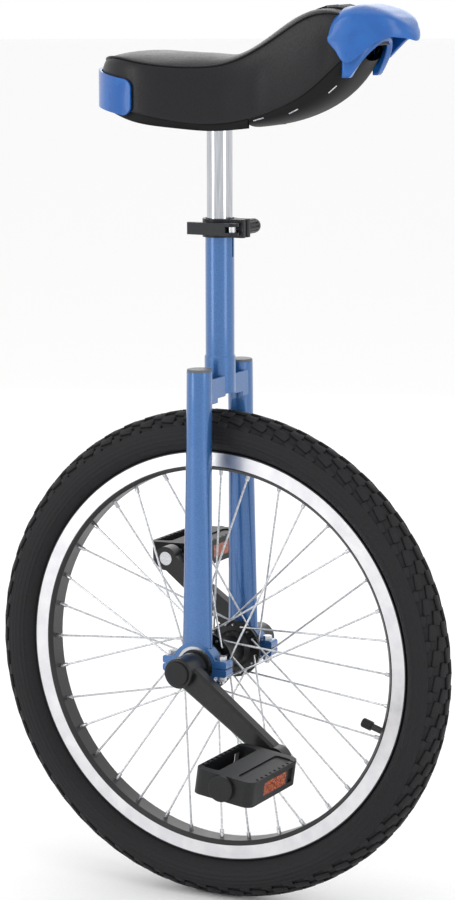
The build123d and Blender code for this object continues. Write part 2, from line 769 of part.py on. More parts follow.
# ================================================================ seat clamp
slot_plane = Plane.XY.offset(clamp_middle - clamp_height / 2)
with BuildPart() as clamp_collar:
    with BuildSketch(slot_plane):
        Circle(clamp_radius)
        with Locations(((clamp_ear_reach + clamp_bore) / 2, 0)):
            Rectangle(clamp_ear_reach - clamp_bore, 2 * clamp_ear_thickness + seat_slot_width)
        Circle(clamp_bore, mode=Mode.SUBTRACT)
        with Locations((clamp_ear_reach / 2 + clamp_bore / 2, 0)):
            Rectangle(clamp_ear_reach, seat_slot_width, mode=Mode.SUBTRACT)
    extrude(amount=clamp_height)
    fillet(clamp_collar.edges().filter_by(Axis.Z).group_by(Axis.X)[-1], radius=2)
    with BuildSketch(Plane.XZ.offset(-clamp_radius)):
        with Locations((skewer_reach, clamp_middle)):
            Circle(skewer_radius + bolt_gap)
    extrude(amount=2 * clamp_radius, mode=Mode.SUBTRACT)
save(clamp_collar, "clamp_collar")

ear_face = clamp_ear_thickness + seat_slot_width / 2
skewer_line = Plane(origin=(skewer_reach, 0, clamp_middle), x_dir=(1, 0, 0), z_dir=(0, -1, 0))
with BuildPart() as clamp_cup:
    with BuildSketch(skewer_line.offset(ear_face + press_gap)):
        Circle(cup_radius)
        Circle(skewer_radius + bolt_gap, mode=Mode.SUBTRACT)
    extrude(amount=cup_thickness)
save(clamp_cup, "clamp_cup")

nut_start = ear_face + 0.1
pin_radius = 2.0
eye_half_height = 2.8
with BuildPart() as clamp_skewer:
    with BuildSketch(skewer_line.offset(-(nut_start + clamp_nut_length - 4))):
        Circle(skewer_radius)
    extrude(amount=nut_start + clamp_nut_length - 4 - lever_pivot_y - 2.5)
    with BuildSketch(Plane((skewer_reach, lever_pivot_y, clamp_middle - eye_half_height))):
        Circle(lever_head_radius - 3.2)
    extrude(amount=2 * eye_half_height)
    with BuildSketch(Plane((skewer_reach, lever_pivot_y, clamp_middle - eye_half_height))):
        Circle(pin_radius + press_gap)
    extrude(amount=2 * eye_half_height, mode=Mode.SUBTRACT)
save(clamp_skewer, "clamp_skewer")

with BuildPart() as clamp_pin:
    with BuildSketch(Plane((skewer_reach, lever_pivot_y, clamp_middle - lever_height / 2))):
        Circle(pin_radius)
    extrude(amount=lever_height)
save(clamp_pin, "clamp_pin")

lever_inner = clamp_radius + 0.8
lever_end = skewer_reach - lever_length
with BuildPart() as clamp_lever:
    with BuildSketch(Plane.XY.offset(clamp_middle - lever_height / 2)):
        with Locations((skewer_reach, lever_pivot_y)):
            Circle(lever_head_radius)
        with BuildLine():
            Polyline((skewer_reach, lever_pivot_y + lever_head_radius * 0.2),
                     (skewer_reach - 6, -lever_inner + 1.2), (0, -lever_inner),
                     (lever_end + 8, -lever_inner),
                     (lever_end, -lever_inner - 1.5), (lever_end, -lever_inner - lever_thickness),
                     (0, -lever_inner - lever_thickness),
                     (skewer_reach, lever_pivot_y - lever_head_radius), close=True)
        make_face()
        Circle(clamp_radius + 0.6, mode=Mode.SUBTRACT)
    extrude(amount=lever_height)
    with BuildSketch(Plane.XY.offset(clamp_middle - eye_half_height - 0.15)):
        with Locations((skewer_reach + 6, lever_pivot_y)):
            Rectangle(20, 4 * lever_head_radius)
    extrude(amount=2 * (eye_half_height + 0.15), mode=Mode.SUBTRACT)
    with BuildSketch(Plane.XY.offset(clamp_middle - lever_height / 2)):
        with Locations((skewer_reach, lever_pivot_y)):
            Circle(pin_radius + running_gap)
    extrude(amount=lever_height, mode=Mode.SUBTRACT)
save(clamp_lever, "clamp_lever")

with BuildPart() as clamp_nut:
    with BuildSketch(skewer_line.offset(-nut_start)):
        Circle(clamp_nut_radius)
        with PolarLocations(clamp_nut_radius, 12):
            Circle(0.8, mode=Mode.SUBTRACT)
    extrude(amount=-clamp_nut_length)
    with BuildSketch(skewer_line.offset(-(nut_start + clamp_nut_length - 8))):
        Circle(clamp_nut_radius)
    extrude(amount=-8)
    fillet(clamp_nut.edges().group_by(Axis.Y)[-1], radius=clamp_nut_radius * 0.7)
    with BuildSketch(skewer_line.offset(-nut_start)):
        Circle(skewer_radius + running_gap)
    extrude(amount=-(clamp_nut_length - 3.6), mode=Mode.SUBTRACT)
save(clamp_nut, "clamp_nut")

# ================================================================ seatpost and saddle
with BuildPart() as seatpost:
    with BuildSketch(Plane.XY.offset(post_bottom)):
        Circle(post_radius)
        Circle(post_radius - post_wall, mode=Mode.SUBTRACT)
    extrude(amount=post_top - post_bottom)
save(seatpost, "seatpost")

pad_top = base_top[2][1] + 1.0
plate_bottom = pad_top - base_wall - bracket_thickness - press_gap
pad_margin = 5.0
with BuildPart() as saddle_bracket:
    with BuildSketch(Plane.XY.offset(plate_bottom)):
        RectangleRounded(bracket_length, bracket_width, 8)
        with GridLocations(bracket_bolt_x, bracket_bolt_y, 2, 2):
            Circle(bracket_bolt_radius + bolt_gap, mode=Mode.SUBTRACT)
    extrude(amount=bracket_thickness)
    with BuildSketch(Plane.XY.offset(plate_bottom)):
        Circle(post_radius + running_gap + 2.5)
        Circle(post_radius + running_gap, mode=Mode.SUBTRACT)
    extrude(amount=-socket_height)
save(saddle_bracket, "saddle_bracket")


def side_band(upper, lower):
    """A solid across the saddle's full width between an upper and a lower side curve."""
    with BuildPart() as band:
        with BuildSketch(Plane.XZ.offset(-120)):
            with BuildLine():
                top = Spline(*upper)
                bottom = Spline(*lower)
                Line(top @ 1, bottom @ 0)
                Line(bottom @ 1, top @ 0)
            make_face()
        extrude(amount=240)
    return band.part


def plan_column(inset, low=760.0, high=920.0):
    """The saddle's plan outline, drawn in by an inset, as a tall column."""
    with BuildPart() as column:
        with BuildSketch(Plane.XY.offset(low)):
            with BuildLine():
                edge = [Vector(saddle_rear, 0), *(Vector(x, -y) for x, y in saddle_plan),
                        Vector(saddle_nose, 0)]
                right = []
                for before, here, after in zip(edge, edge[1:], edge[2:]):
                    run = after - before
                    right.append(here + Vector(-run.Y, run.X).normalized() * inset)
                Spline((saddle_rear + inset, 0), *right, (saddle_nose - inset, 0),
                       tangents=[(0, -1), (0, 1)])
                mirror(about=Plane.XZ)
            make_face()
        extrude(amount=high - low)
    return column.part


def shifted(curve, rise):
    return [(x, z + rise) for x, z in curve]


def widened(curve, reach):
    """A side curve drawn out past both ends, so that it cuts the whole plan."""
    (x0, z0), (x1, z1) = curve[0], curve[-1]
    out = reach if x1 > x0 else -reach
    return [(x0 - out, z0 - 4)] + list(curve) + [(x1 + out, z1 - 6)]


skin_top = widened(saddle_top, 14)
skin_edge = widened(cover_edge, 14)
skin_ends = (0, len(skin_edge) - 1)
skin_edge = [(x, z + 6 if number in skin_ends else z) for number, (x, z) in enumerate(skin_edge)]
pan_top = widened(base_top, 14)
pan_bottom = widened(base_bottom, 14)

with BuildPart() as saddle_cover:
    add(side_band(skin_top, skin_edge))
    add(plan_column(0), mode=Mode.INTERSECT)
    inner_space = side_band(shifted(skin_top, -cover_thickness), shifted(list(skin_edge), -40))
    inner_space = inner_space & plan_column(cover_thickness)
    add(inner_space, mode=Mode.SUBTRACT)
save(saddle_cover, "saddle_cover")

pan_inset = cover_thickness + soft_gap
hollow_front = 62.0
with BuildPart() as saddle_base:
    add(side_band(pan_top, pan_bottom))
    add(plan_column(pan_inset), mode=Mode.INTERSECT)
    hollow = side_band(shifted(pan_top, -base_wall), shifted(list(pan_bottom), -40))
    with BuildPart(Location((hollow_front - 100, 0, 800)), mode=Mode.PRIVATE) as rear_part:
        Box(200, 200, 200)
    hollow = hollow & plan_column(pan_inset + base_wall) & rear_part.part
    add(hollow, mode=Mode.SUBTRACT)
    with BuildSketch(Plane.XY.offset(pad_top)):
        RectangleRounded(bracket_length + pad_margin, bracket_width + pad_margin, 9)
    extrude(amount=-base_wall)
    with BuildSketch(Plane.XY.offset(pad_top - base_wall)):
        RectangleRounded(bracket_length + pad_margin, bracket_width + pad_margin, 9)
    extrude(amount=-10, mode=Mode.SUBTRACT)
    with BuildSketch(Plane.XY.offset(plate_bottom)):
        with GridLocations(bracket_bolt_x, bracket_bolt_y, 2, 2):
            Circle(bracket_bolt_radius + bolt_gap)
    extrude(amount=bracket_thickness + 2 * base_wall, mode=Mode.SUBTRACT)
save(saddle_base, "saddle_base")

with BuildPart() as saddle_foam:
    add(side_band(shifted(skin_top, -cover_thickness - soft_gap),
                  list(reversed(shifted(pan_top, soft_gap)))))
    add(plan_column(pan_inset), mode=Mode.INTERSECT)
    with BuildSketch(Plane.XY.offset(pad_top + soft_gap)):
        pocket_margin = pad_margin + 2 * soft_gap
        RectangleRounded(bracket_length + pocket_margin, bracket_width + pocket_margin, 9)
    extrude(amount=-12, mode=Mode.SUBTRACT)
    with BuildSketch(Plane.XY.offset(pad_top)):
        with GridLocations(bracket_bolt_x, bracket_bolt_y, 2, 2):
            Circle(bolt_head_radius + soft_gap)
    extrude(amount=4, mode=Mode.SUBTRACT)
save(saddle_foam, "saddle_foam")

bolt_foot = plate_bottom - 7.0
with BuildPart() as saddle_bolts:
    with BuildSketch(Plane.XY.offset(bolt_foot)):
        with GridLocations(bracket_bolt_x, bracket_bolt_y, 2, 2):
            Circle(bracket_bolt_radius)
    extrude(amount=pad_top - bolt_foot + press_gap)
    with BuildSketch(Plane.XY.offset(pad_top + press_gap)):
        with GridLocations(bracket_bolt_x, bracket_bolt_y, 2, 2):
            Circle(bolt_head_radius)
    extrude(amount=3)
save(saddle_bolts, "saddle_bolts")

with BuildPart() as saddle_nuts:
    with BuildSketch(Plane.XY.offset(plate_bottom - press_gap)):
        with GridLocations(bracket_bolt_x, bracket_bolt_y, 2, 2):
            RegularPolygon(hexagon_radius(10), 6)
            Circle(bracket_bolt_radius + press_gap, mode=Mode.SUBTRACT)
    extrude(amount=-5)
save(saddle_nuts, "saddle_nuts")

# Bumper: a shallow shell around the rear of the saddle.
bumper_top = 836.0
bumper_bottom = 801.0
bumper_front = -56.0
bumper_drop = 10.5
bumper_corner = 9.0
bumper_screw_sink = 1.4
bumper_screw_height = 1.8
with BuildPart() as rear_bumper:
    with BuildSketch(Plane.XZ.offset(-120)) as bumper_side:
        with BuildLine():
            Polyline((saddle_rear - 12, bumper_top + 1), (bumper_front, bumper_top - bumper_drop),
                     (bumper_front, bumper_bottom - bumper_drop), (saddle_rear - 12, bumper_bottom + 1),
                     close=True)
        make_face()
        fillet(bumper_side.vertices().group_by(Axis.X)[-1], radius=bumper_corner)
    extrude(amount=240)
    add(plan_column(-soft_gap - bumper_wall), mode=Mode.INTERSECT)
    add(plan_column(-soft_gap), mode=Mode.SUBTRACT)
save(rear_bumper, "rear_bumper")

# Handle: a hood over the nose with a finger gap between an inner wall and the outer band.
hood_side = [(140, 887), (150, 896), (166, 898), (184, 893), (199, 885), (handle_tip, 870)]
hood_lower = [(202, 863), (188, 866.5), (173, 858), (153, 837)]
hood_rear = [(138, 856), (134, 871)]
# Plate under the nose, which closes the inner wall: (forward, height), outer face then inner face.
nose_plate = [(180.4, 866), (180.4, 841), (165, 827), (157, 825), (157, 828.5), (168, 840.5), (176.8, 840.5),
              (176.8, 866)]
nose_plate_half_width = 27.0
hood_centre = 150.0


def hood_column(inset):
    """The hood's plan outline, a half oval in front of straight sides, as a tall column."""
    with BuildPart() as column:
        with BuildSketch(Plane.XY.offset(760)):
            with Locations((hood_centre, 0)):
                Ellipse(handle_tip - hood_centre - inset, handle_half_width - inset)
            with Locations((hood_centre - 30, 0)):
                Rectangle(60, 2 * (handle_half_width - inset))
        extrude(amount=160)
    return column.part


with BuildPart() as saddle_handle:
    with BuildSketch(Plane.XZ.offset(-120)):
        with BuildLine():
            Spline(*hood_side)
            Spline(hood_side[-1], *hood_lower)
            Spline(hood_lower[-1], *hood_rear, hood_side[0])
        make_face()
    extrude(amount=240)
    add(hood_column(0), mode=Mode.INTERSECT)
    nose_space = side_band(shifted(skin_top, soft_gap), shifted(list(pan_bottom), -60))
    add(nose_space & plan_column(-soft_gap), mode=Mode.SUBTRACT)
    lower_space = side_band([(x, z - handle_wall) for x, z in [(100, 886)] + hood_side[1:]] + [(230, 845)],
                            [(230, 760), (160, 760), (100, 760)])
    finger_space = (lower_space & hood_column(handle_wall)) - plan_column(-soft_gap - handle_wall)
    add(finger_space, mode=Mode.SUBTRACT)
    with BuildPart(mode=Mode.PRIVATE) as under_nose:
        with BuildSketch(Plane.XZ.offset(-nose_plate_half_width)):
            Polygon(*nose_plate, align=None)
        extrude(amount=2 * nose_plate_half_width)
        add(plan_column(-soft_gap - handle_wall), mode=Mode.INTERSECT)
    add(under_nose.part)
save(saddle_handle, "saddle_handle")

# Staples that hold the cover's edge to the base, three on each side of the nose.
staple_places = [(62, 791), (95, 800), (134, 826)]


def plan_half_width(x):
    """The saddle's half width at one place, between the plan's points."""
    for (x0, y0), (x1, y1) in zip(saddle_plan, saddle_plan[1:]):
        if x0 <= x <= x1:
            return y0 + (y1 - y0) * (x - x0) / (x1 - x0)
    return 0.0


with BuildPart() as cover_staples:
    for x, z in staple_places:
        slope = degrees(atan2(plan_half_width(x + 5) - plan_half_width(x - 5), 10))
        for side in SIDES.values():
            face = side * (plan_half_width(x) - pan_inset + staple_stand)
            climb = radians(32 if x > 80 else 14)
            along = Vector(cos(climb), side * sin(radians(slope)), sin(climb)).normalized()
            with BuildSketch(Plane(origin=(x, face, z), x_dir=along, z_dir=(0, side, 0))):
                Rectangle(staple_length, staple_wire)
            extrude(amount=0.7)
save(cover_staples, "cover_staples")

with BuildPart() as bumper_screws:
    for side in SIDES.values():
        screw_face = saddle_rear - soft_gap - bumper_wall + bumper_screw_sink
        with BuildSketch(Plane(origin=(screw_face, side * 10, 818), z_dir=(-1, 0, 0))):
            Circle(3.6)
        extrude(amount=bumper_screw_height)
save(bumper_screws, "bumper_screws")
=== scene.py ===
import json
import math

import bmesh
import bpy
from mathutils import Matrix, Vector
from mathutils.bvhtree import BVHTree

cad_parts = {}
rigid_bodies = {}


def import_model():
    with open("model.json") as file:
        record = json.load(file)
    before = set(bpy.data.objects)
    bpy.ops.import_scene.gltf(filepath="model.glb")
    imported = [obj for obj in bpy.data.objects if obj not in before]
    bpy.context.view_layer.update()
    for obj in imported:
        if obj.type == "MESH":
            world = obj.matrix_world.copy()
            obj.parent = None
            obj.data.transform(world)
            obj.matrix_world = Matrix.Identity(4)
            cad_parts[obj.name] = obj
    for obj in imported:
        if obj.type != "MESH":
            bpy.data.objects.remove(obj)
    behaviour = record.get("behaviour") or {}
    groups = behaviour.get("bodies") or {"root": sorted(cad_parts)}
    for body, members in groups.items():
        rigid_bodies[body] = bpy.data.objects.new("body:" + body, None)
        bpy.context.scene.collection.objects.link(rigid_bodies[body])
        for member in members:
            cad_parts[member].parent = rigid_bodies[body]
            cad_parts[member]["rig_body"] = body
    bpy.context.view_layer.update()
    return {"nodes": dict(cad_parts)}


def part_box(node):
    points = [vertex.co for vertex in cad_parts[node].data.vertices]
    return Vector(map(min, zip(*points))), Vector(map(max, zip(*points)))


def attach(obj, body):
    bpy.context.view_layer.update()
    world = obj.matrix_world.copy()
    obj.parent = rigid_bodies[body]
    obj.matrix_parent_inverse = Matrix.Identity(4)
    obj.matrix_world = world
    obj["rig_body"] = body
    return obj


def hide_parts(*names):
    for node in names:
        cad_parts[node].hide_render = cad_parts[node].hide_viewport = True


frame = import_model()
nodes = frame["nodes"]

# ---- Frame: seat tube, fork legs, crown plates and bearing housings
# Mild steel tube and pressed plate, welded, then sprayed in one coat of metallic blue and baked.
# The lacquer over the flake gives the eye a bright edge along every tube.


def tone(hexadecimal):
    """An sRGB hex colour as the linear colour a shader takes."""
    parts = [int(hexadecimal[i:i + 2], 16) / 255 for i in (1, 3, 5)]
    return tuple(p / 12.92 if p <= 0.04045 else ((p + 0.055) / 1.055) ** 2.4 for p in parts) + (1,)


def add(tree, kind, values=(), links=(), **settings):
    """One more node in a material, with its settings, its sockets' values and its links."""
    node = tree.nodes.new(kind)
    for name, value in settings.items():
        setattr(node, name, value)
    for socket, value in dict(values).items():
        node.inputs[socket].default_value = value
    for socket, source in dict(links).items():
        tree.links.new(source, node.inputs[socket])
    return node


def new_finish(name, **sockets):
    """A named finish: its material, its shader and the coordinates its patterns read."""
    material = bpy.data.materials.new(name)
    material.use_nodes = True
    tree = material.node_tree
    shader = tree.nodes["Principled BSDF"]
    for socket, value in sockets.items():
        shader.inputs[socket.replace("_", " ")].default_value = value
    place = add(tree, "ShaderNodeTexCoord").outputs["Object"]
    return material, tree, shader, place


def dress(material, *names):
    """The same finish on each of these frame pieces."""
    for name in names:
        for material_slot in nodes[name].material_slots:
            material_slot.material = material


def two_tones(tree, shader, factor, first, second, low=0.35, high=0.65):
    """The base colour runs from one tone to another as a pattern rises."""
    ramp = add(tree, "ShaderNodeValToRGB", links={"Fac": factor})
    ramp.color_ramp.elements[0].position, ramp.color_ramp.elements[0].color = low, tone(first)
    ramp.color_ramp.elements[1].position, ramp.color_ramp.elements[1].color = high, tone(second)
    tree.links.new(ramp.outputs["Color"], shader.inputs["Base Color"])
    return ramp


def relief(tree, shader, height, depth_mm, strength=1.0):
    """A pattern stands out from the surface by this depth."""
    bump = add(tree, "ShaderNodeBump", {"Strength": strength, "Distance": depth_mm / 1000},
               {"Height": height})
    tree.links.new(bump.outputs["Normal"], shader.inputs["Normal"])
    return bump


def spread(tree, shader, factor, low, high):
    """The roughness runs between two values as a pattern rises."""
    span = add(tree, "ShaderNodeMapRange", {"To Min": low, "To Max": high}, {"Value": factor})
    tree.links.new(span.outputs["Result"], shader.inputs["Roughness"])


lacquer, tree, shader, place = new_finish("metallic_blue_lacquer", Metallic=0.45, Coat_Weight=0.9,
                                          Coat_Roughness=0.05)
flake = add(tree, "ShaderNodeTexNoise", {"Scale": 1600, "Detail": 2}, {"Vector": place})
two_tones(tree, shader, flake.outputs["Fac"], "#26548C", "#3A6EA9")
peel = add(tree, "ShaderNodeTexNoise", {"Scale": 350, "Detail": 2}, {"Vector": place})
relief(tree, shader, peel.outputs["Fac"], 0.06)
spread(tree, shader, flake.outputs["Fac"], 0.26, 0.4)
dress(lacquer, "seat_tube", "fork_leg_right", "fork_leg_left", "crown_plates", "bearing_housing_right",
      "bearing_housing_left", "bearing_cap_right", "bearing_cap_left")

# ---- Leg caps
# Dark grey moulded plugs pressed into the open tops of the fork legs, with a satin skin.
cap_plastic, tree, shader, place = new_finish("moulded_grey_nylon")
grain = add(tree, "ShaderNodeTexNoise", {"Scale": 1200, "Detail": 3}, {"Vector": place})
two_tones(tree, shader, grain.outputs["Fac"], "#4A4C50", "#63656A")
relief(tree, shader, grain.outputs["Fac"], 0.05)
spread(tree, shader, grain.outputs["Fac"], 0.35, 0.5)
dress(cap_plastic, "leg_caps")

# ---- Bearings and their bolts
# Ground steel races and balls, black seals, and zinc plated hexagon bolts with a faint mottled grain.
ground_steel, tree, shader, place = new_finish("ground_bearing_steel", Metallic=1.0)
grind = add(tree, "ShaderNodeTexNoise", {"Scale": 900, "Detail": 3}, {"Vector": place})
two_tones(tree, shader, grind.outputs["Fac"], "#A9ABAF", "#C6C8CB")
spread(tree, shader, grind.outputs["Fac"], 0.16, 0.3)
dress(ground_steel, "bearing_outer_races", "bearing_inner_races", "bearing_balls", "axle")

zinc, tree, shader, place = new_finish("bright_zinc_plate", Metallic=1.0)
spangle = add(tree, "ShaderNodeTexVoronoi", {"Scale": 700}, {"Vector": place})
two_tones(tree, shader, spangle.outputs["Distance"], "#B4B6BA", "#DADBDD", 0.0, 0.9)
spread(tree, shader, spangle.outputs["Distance"], 0.2, 0.42)
dress(zinc, "housing_bolts", "housing_nuts", "axle_nuts", "saddle_bolts", "saddle_nuts", "bumper_screws")

seal_rubber, tree, shader, place = new_finish("nitrile_seal_rubber")
grain = add(tree, "ShaderNodeTexNoise", {"Scale": 1500, "Detail": 2}, {"Vector": place})
two_tones(tree, shader, grain.outputs["Fac"], "#141416", "#222226")
spread(tree, shader, grain.outputs["Fac"], 0.5, 0.7)
dress(seal_rubber, "bearing_shields")

# ---- Hub, axle collars and cranks
# Forged and pressed steel in thin satin black enamel: a soft skin with slight pull marks.
enamel, tree, shader, place = new_finish("satin_black_enamel", Specular_IOR_Level=0.3, Coat_Weight=0.2,
                                         Coat_Roughness=0.18)
skin = add(tree, "ShaderNodeTexNoise", {"Scale": 240, "Detail": 4}, {"Vector": place})
two_tones(tree, shader, skin.outputs["Fac"], "#0B0C0D", "#141517")
relief(tree, shader, skin.outputs["Fac"], 0.09)
spread(tree, shader, skin.outputs["Fac"], 0.3, 0.46)
dress(enamel, "hub_shell", "axle_spacers", "crank_right", "crank_left", "saddle_bracket")

# ---- Rim
# Extruded aluminium hoop, anodised black. The brake tracks on both sides are turned back to bare
# metal, which leaves a bright band with fine lines that run round the wheel.
wheel_middle = Vector((0, 0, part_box("axle")[0].z + (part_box("axle")[1].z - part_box("axle")[0].z) / 2))
rim_radius = (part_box("rim")[1].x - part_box("rim")[0].x) / 2
track_inner = rim_radius - 0.0146
track_outer = rim_radius - 0.0012
rim_finish, tree, shader, place = new_finish("anodised_rim_with_turned_tracks")
from_axle = add(tree, "ShaderNodeVectorMath", {1: wheel_middle}, {0: place}, operation="SUBTRACT")
flat = add(tree, "ShaderNodeVectorMath", {1: (1, 0, 1)}, {0: from_axle.outputs["Vector"]},
           operation="MULTIPLY")
radius = add(tree, "ShaderNodeVectorMath", links={0: flat.outputs["Vector"]}, operation="LENGTH")
middle = (track_inner + track_outer) / 2
away = add(tree, "ShaderNodeMath", {1: middle}, {0: radius.outputs["Value"]}, operation="SUBTRACT")
span = add(tree, "ShaderNodeMath", links={0: away.outputs[0]}, operation="ABSOLUTE")
banded = add(tree, "ShaderNodeMath", {1: (track_outer - track_inner) / 2}, {0: span.outputs[0]},
             operation="LESS_THAN")
half_width = (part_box("rim")[1].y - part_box("rim")[0].y) / 2
across = add(tree, "ShaderNodeSeparateXYZ", links={0: place})
side = add(tree, "ShaderNodeMath", links={0: across.outputs["Y"]}, operation="ABSOLUTE")
outside = add(tree, "ShaderNodeMath", {1: half_width - 0.0012}, {0: side.outputs[0]},
              operation="GREATER_THAN")
bare = add(tree, "ShaderNodeMath", links={0: banded.outputs[0], 1: outside.outputs[0]},
           operation="MULTIPLY")
turning = add(tree, "ShaderNodeMath", {1: 2 * math.pi / 0.0011}, {0: radius.outputs["Value"]},
              operation="MULTIPLY")
lines = add(tree, "ShaderNodeMath", links={0: turning.outputs[0]}, operation="SINE")
cloud = add(tree, "ShaderNodeTexNoise", {"Scale": 60, "Detail": 3}, {"Vector": place})
metal = add(tree, "ShaderNodeValToRGB", links={"Fac": cloud.outputs["Fac"]})
metal.color_ramp.elements[0].position, metal.color_ramp.elements[0].color = 0.3, tone("#CDCDD1")
metal.color_ramp.elements[1].position, metal.color_ramp.elements[1].color = 0.7, tone("#DDDCDE")
colour = add(tree, "ShaderNodeMix", {6: tone("#131315")}, {0: bare.outputs[0], 7: metal.outputs["Color"]},
             data_type="RGBA")
tree.links.new(colour.outputs[2], shader.inputs["Base Color"])
tree.links.new(bare.outputs[0], shader.inputs["Metallic"])
spread(tree, shader, cloud.outputs["Fac"], 0.24, 0.42)
scored = add(tree, "ShaderNodeMath", links={0: lines.outputs[0], 1: bare.outputs[0]}, operation="MULTIPLY")
relief(tree, shader, scored.outputs[0], 0.02)
dress(rim_finish, "rim")

# ---- Spokes and nipples
# Drawn steel wire, galvanised, with brass nipples plated to match. Dull silver, finely streaked.
wire, tree, shader, place = new_finish("galvanised_spoke_wire", Metallic=0.9)
streak = add(tree, "ShaderNodeTexNoise", {"Scale": 500, "Detail": 2}, {"Vector": place})
two_tones(tree, shader, streak.outputs["Fac"], "#AEB0B4", "#D6D7DA")
spread(tree, shader, streak.outputs["Fac"], 0.22, 0.36)
dress(wire, "spokes", "nipples")

# ---- Rim tape, inner tube and valve
# Woven nylon tape, a butyl tube with its rubber covered valve, and a screw cap in black nylon.
tape, tree, shader, place = new_finish("woven_nylon_tape")
threads = add(tree, "ShaderNodeTexWave", {"Scale": 300}, {"Vector": place}, bands_direction="Y")
two_tones(tree, shader, threads.outputs["Fac"], "#A9A79C", "#C9C7BD")
relief(tree, shader, threads.outputs["Fac"], 0.2)
dress(tape, "rim_tape")
butyl, tree, shader, place = new_finish("butyl_rubber")
bloom = add(tree, "ShaderNodeTexNoise", {"Scale": 400, "Detail": 4}, {"Vector": place})
two_tones(tree, shader, bloom.outputs["Fac"], "#1B1B1D", "#2B2B2E")
spread(tree, shader, bloom.outputs["Fac"], 0.5, 0.72)
dress(butyl, "inner_tube", "valve_stem")

# ---- Tyre
# Black natural rubber moulded on a nylon carcass: ringed smooth sidewalls, and a crown of small
# blocks in staggered rows. Faint dust in the pores lifts the black to charcoal.
tread_rubber, tree, shader, place = new_finish("moulded_tread_rubber", Specular_IOR_Level=0.3)
pores = add(tree, "ShaderNodeTexNoise", {"Scale": 700, "Detail": 4}, {"Vector": place})
two_tones(tree, shader, pores.outputs["Fac"], "#101012", "#1C1C1F")
relief(tree, shader, pores.outputs["Fac"], 0.12)
spread(tree, shader, pores.outputs["Fac"], 0.55, 0.78)
crown_radius = (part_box("tyre")[1].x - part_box("tyre")[0].x) / 2
half_section = (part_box("tyre")[1].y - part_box("tyre")[0].y) / 2
section_radius = crown_radius - half_section
tread_depth = 0.0026
bead_radius = 0.2035
rubber_wall = 0.0025
ring_angles = (66, 76, 86, 99, 112)
ring_rise = 0.0007
side_end = 154
carcass = bmesh.new()
section = []
for depth, step in ((0, 2), (rubber_wall, 11)):
    line = []
    for turn in range(-side_end, side_end + 1, step):
        angle = math.radians(turn)
        ring = max((1 - abs(abs(turn) - at) / 3 for at in ring_angles), default=0)
        ring = ring_rise * max(ring, 0) if depth == 0 else 0
        crown = half_section - tread_depth if abs(turn) < 64 else half_section - ring_rise
        out = (crown if abs(turn) < 90 else 0.018) - depth
        wide = half_section - (tread_depth if abs(turn) < 64 else ring_rise) - depth + ring
        line.append((wide * math.sin(angle), section_radius + (out + ring) * math.cos(angle)))
    line = [(line[0][0], bead_radius)] + line + [(line[-1][0], bead_radius)]
    section += line if depth == 0 else line[::-1]
loop = [carcass.verts.new((0, across_tyre, wheel_middle.z + up)) for across_tyre, up in section]
hoop = [carcass.edges.new((a, b)) for a, b in zip(loop, loop[1:] + loop[:1])]
bmesh.ops.spin(carcass, geom=loop + hoop, cent=wheel_middle, axis=(0, 1, 0), angle=2 * math.pi, steps=180,
               use_merge=True)
bmesh.ops.recalc_face_normals(carcass, faces=carcass.faces)
block_count = 60
pitch = 2 * math.pi / block_count
# Rows of blocks: degrees from the crown, half a pitch ahead or not, length and width in metres.
for lean, ahead, length, width in [(0, 0, 0.015, 0.0085), (21, 0.5, 0.014, 0.008), (-21, 0.5, 0.014, 0.008),
                                   (41, 0, 0.016, 0.0075), (-41, 0, 0.016, 0.0075), (59, 0.5, 0.011, 0.006),
                                   (-59, 0.5, 0.011, 0.006)]:
    stand_place = (Matrix.Translation(wheel_middle) @ Matrix.Rotation(ahead * pitch, 4, "Y")
                   @ Matrix.Translation((0, 0, section_radius)) @ Matrix.Rotation(-math.radians(lean), 4, "X")
                   @ Matrix.Translation((0, 0, half_section - tread_depth / 2 - 0.0006))
                   @ Matrix.Rotation(math.radians(12 if lean > 0 else -12 if lean else 0), 4, "Z")
                   @ Matrix.Diagonal((length, width, tread_depth + 0.0006, 1)))
    block = bmesh.ops.create_cube(carcass, size=1, matrix=stand_place)["verts"]
    edges = list({edge for vert in block for edge in vert.link_edges})
    rounded = bmesh.ops.bevel(carcass, geom=edges, offset=0.0008, segments=1, profile=0.5, affect="EDGES",
                              material=-1)
    shape = rounded["verts"] + rounded["edges"] + rounded["faces"]
    shape += [f for f in {g for v in rounded["verts"] for g in v.link_faces} if f not in rounded["faces"]]
    bmesh.ops.spin(carcass, geom=shape, cent=wheel_middle, axis=(0, 1, 0),
                   angle=2 * math.pi - pitch, steps=block_count - 1, use_duplicate=True)


def finish_piece(mesh, name, material, body, smooth=True):
    """A finished mesh becomes a piece of the object with one material, on one body."""
    data = bpy.data.meshes.new(name)
    for face in mesh.faces:
        face.smooth = smooth
    mesh.to_mesh(data)
    mesh.free()
    data.materials.append(material)
    piece = bpy.data.objects.new(name, data)
    bpy.context.scene.collection.objects.link(piece)
    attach(piece, body)
    return piece


tread = finish_piece(carcass, "treaded_tyre", tread_rubber, "wheel")
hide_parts("tyre")

